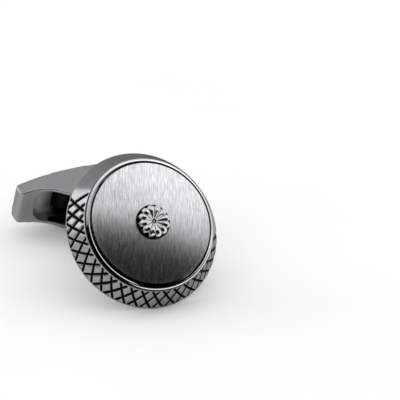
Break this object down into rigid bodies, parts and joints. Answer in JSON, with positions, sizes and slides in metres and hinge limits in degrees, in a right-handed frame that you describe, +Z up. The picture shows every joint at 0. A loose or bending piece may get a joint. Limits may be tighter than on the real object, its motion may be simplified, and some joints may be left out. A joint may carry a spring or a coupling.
{
  "type": "cufflink",
  "caption": "Round cufflink with a knurled case, a brushed disc with a daisy rosette, and a swivel whale-tail toggle on a curved arm that fastens a shirt cuff.",
  "frame": {"origin": "bottom centre of the box of the cufflink as it rests on a table", "axes": "+Z up from the table, -Y is the side that the head's face leans to, +Y is the toggle's side, X runs along the toggle"},
  "size_m": [0.018, 0.027, 0.0144],
  "materials": {
    "face_disc": "fine straight brushing, grey plating",
    "bezel": "polished grey plating, knurl grooves darkened",
    "bedding_ring": "set adhesive",
    "rosette": "polished grey plating, hollows darkened",
    "rosette_washer": "plain turned steel",
    "back_plate": "satin grey plating",
    "arm": "polished grey plating",
    "toggle_shell": "satin to polished grey plating",
    "pivot_pin": "polished rivet end",
    "detent_spring": "dark spring steel"
  },
  "bodies": {
    "head": {"bezel": "bezel", "face_disc": "face_disc", "bedding_ring": "bedding_ring", "rosette": "rosette", "rosette_washer": "rosette_washer", "back_plate": "back_plate", "arm": "arm"},
    "toggle": {"toggle_shell": "toggle_shell", "pivot_pin": "pivot_pin", "detent_spring": "detent_spring"}
  },
  "joints": [
    {"name": "toggle_turn", "type": "hinge", "parent": "head", "child": "toggle", "pos_m": [0, 0.00948, 0.00325], "axis": [0, -0.3576, 0.9339], "range_deg": [-90, 90]}
  ]
}
